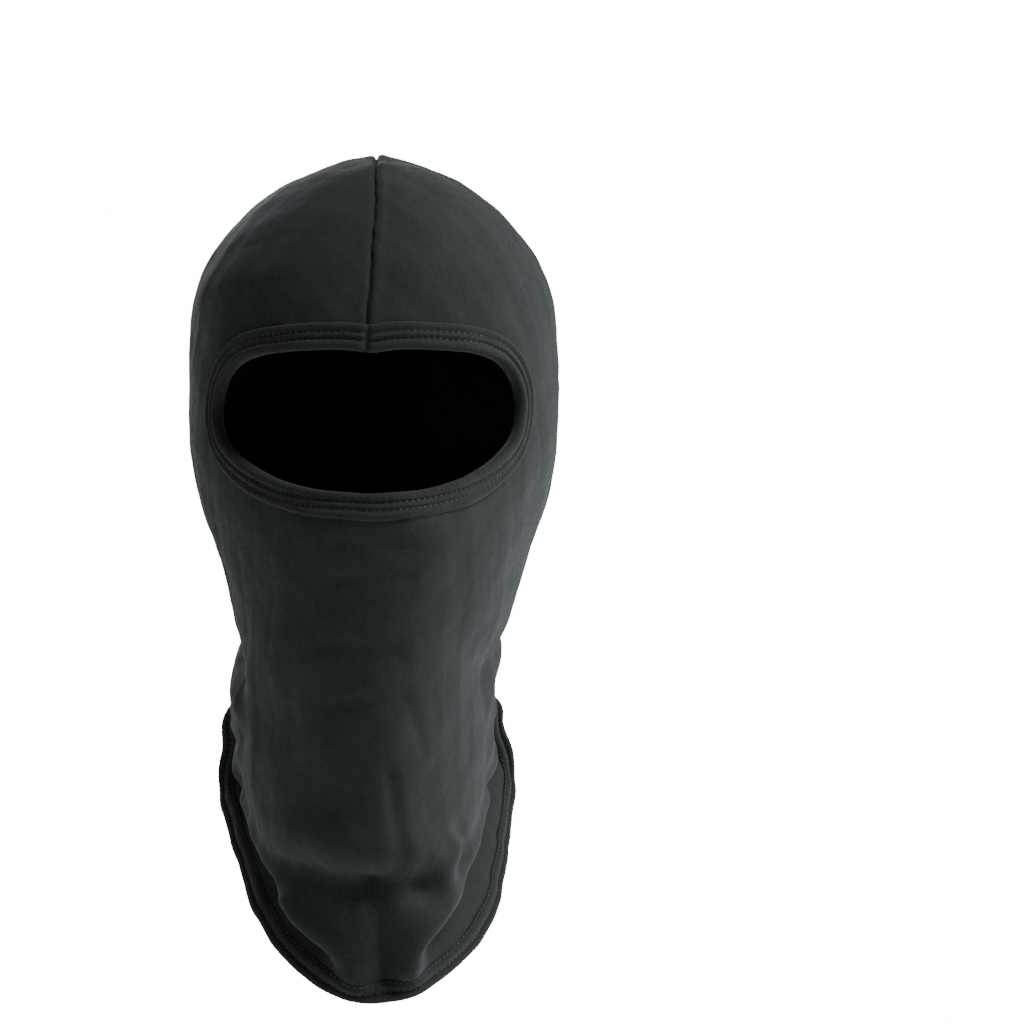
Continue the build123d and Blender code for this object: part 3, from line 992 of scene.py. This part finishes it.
for piece, node, slot in (
    (main_panel, "main_panel", "fleece"),
    (face_binding, "face_binding", "binding"),
    (hem_binding, "hem_binding", "binding"),
    (face_elastic, "face_elastic", "elastic"),
    (face_inner, "face_inner_stitch_row", "thread"),
    (face_outer, "face_outer_stitch_row", "thread"),
    (face_loop, "face_looper_thread", "thread"),
    (hem_inner, "hem_inner_stitch_row", "thread"),
    (hem_outer, "hem_outer_stitch_row", "thread"),
    (hem_loop, "hem_looper_thread", "thread"),
    (seam_needle, "seam_needle_thread", "thread"),
    (seam_overlock, "seam_overlock_thread", "thread"),
    (allowance, "main_panel", "fleece"),
):
    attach(piece, "root")
    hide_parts(node)

# ---- floor and light ---------------------------------------------------------------------------

FLOOR_LEVEL = -0.262
FLOOR_HALF = 30
FLOOR_FADE = (0.28, 0.66)       # distances from the middle between which the floor turns white
WHITE = 16.0                    # brightness of the surroundings as the camera sees them
AMBIENT = 0.12                  # and as they light the object


def for_the_camera(tree, lit, seen, share=None):
    """Shader that is lit, but that the camera sees as the other one, in part or wholly."""
    fac = add_node(tree, "LightPath").outputs["Is Camera Ray"]
    if share is not None:
        fac = calculate(tree, "MULTIPLY", share, fac)
    return add_node(tree, "MixShader", {0: fac, 1: lit, 2: seen}).outputs["Shader"]


def floor_material():
    """Pale floor that fades into the white surroundings away from the object."""
    material, tree = new_material("studio floor")
    shader = tree.nodes["Principled BSDF"]
    shader.inputs["Roughness"].default_value = 0.9
    space = add_node(tree, "TexCoord").outputs["Object"]
    tint = two_tones(tree, noise(tree, space, 3, 2), (0.92,) * 3, 0.0, (0.95,) * 3)
    tree.links.new(tint, shader.inputs["Base Color"])
    away = add_node(tree, "VectorMath", {0: space}, operation="LENGTH").outputs["Value"]
    low, high = FLOOR_FADE
    fade = add_node(tree, "MapRange", {"Value": away, "From Min": low, "From Max": high},
                    interpolation_type="SMOOTHSTEP").outputs["Result"]
    glow = add_node(tree, "Emission", {"Strength": WHITE}).outputs["Emission"]
    both = for_the_camera(tree, shader.outputs["BSDF"], glow, fade)
    tree.links.new(both, tree.nodes["Material Output"].inputs["Surface"])
    return material


def make_floor():
    mesh = bpy.data.meshes.new("floor")
    corners = [(x * FLOOR_HALF, y * FLOOR_HALF, 0) for x, y in ((-1, -1), (1, -1), (1, 1), (-1, 1))]
    mesh.from_pydata(corners, [], [(0, 1, 2, 3)])
    mesh.materials.append(floor_material())
    floor = link(bpy.data.objects.new("floor", mesh))
    floor.location = (0, 0, FLOOR_LEVEL)


def softbox(name, place, target, width, height, power):
    data = bpy.data.lights.new(name, "AREA")
    data.shape = "RECTANGLE"
    data.size, data.size_y = width, height
    data.energy = power
    lamp = link(bpy.data.objects.new(name, data))
    lamp.location = place
    lamp.rotation_euler = (Vector(target) - Vector(place)).to_track_quat("-Z", "Y").to_euler()


def make_world():
    """Surroundings that are white to the camera and light the object softly."""
    world = bpy.data.worlds.new("studio")
    world.use_nodes = True
    tree = world.node_tree
    soft = tree.nodes["Background"]
    soft.inputs["Color"].default_value = (1, 1, 1, 1)
    soft.inputs["Strength"].default_value = AMBIENT
    white = add_node(tree, "Background", {"Color": (1, 1, 1, 1), "Strength": WHITE})
    both = for_the_camera(tree, soft.outputs["Background"], white.outputs["Background"])
    tree.links.new(both, tree.nodes["World Output"].inputs["Surface"])
    bpy.context.scene.world = world


make_floor()
softbox("key", (0.95, -0.75, 1.35), (0, 0, 0.04), 0.6, 0.6, 62)
softbox("right rim", (1.25, 0.15, 0.25), (0, 0, -0.03), 0.4, 0.7, 15)
softbox("left rim", (-1.25, 0.65, 0.35), (0, 0, 0), 0.3, 0.5, 1.2)
softbox("front fill", (-0.55, -1.3, -0.15), (0, 0, -0.16), 0.4, 0.4, 2.6)
softbox("back fill", (-0.35, 1.5, 0.75), (0, 0.05, -0.02), 0.9, 0.9, 22)
make_world()
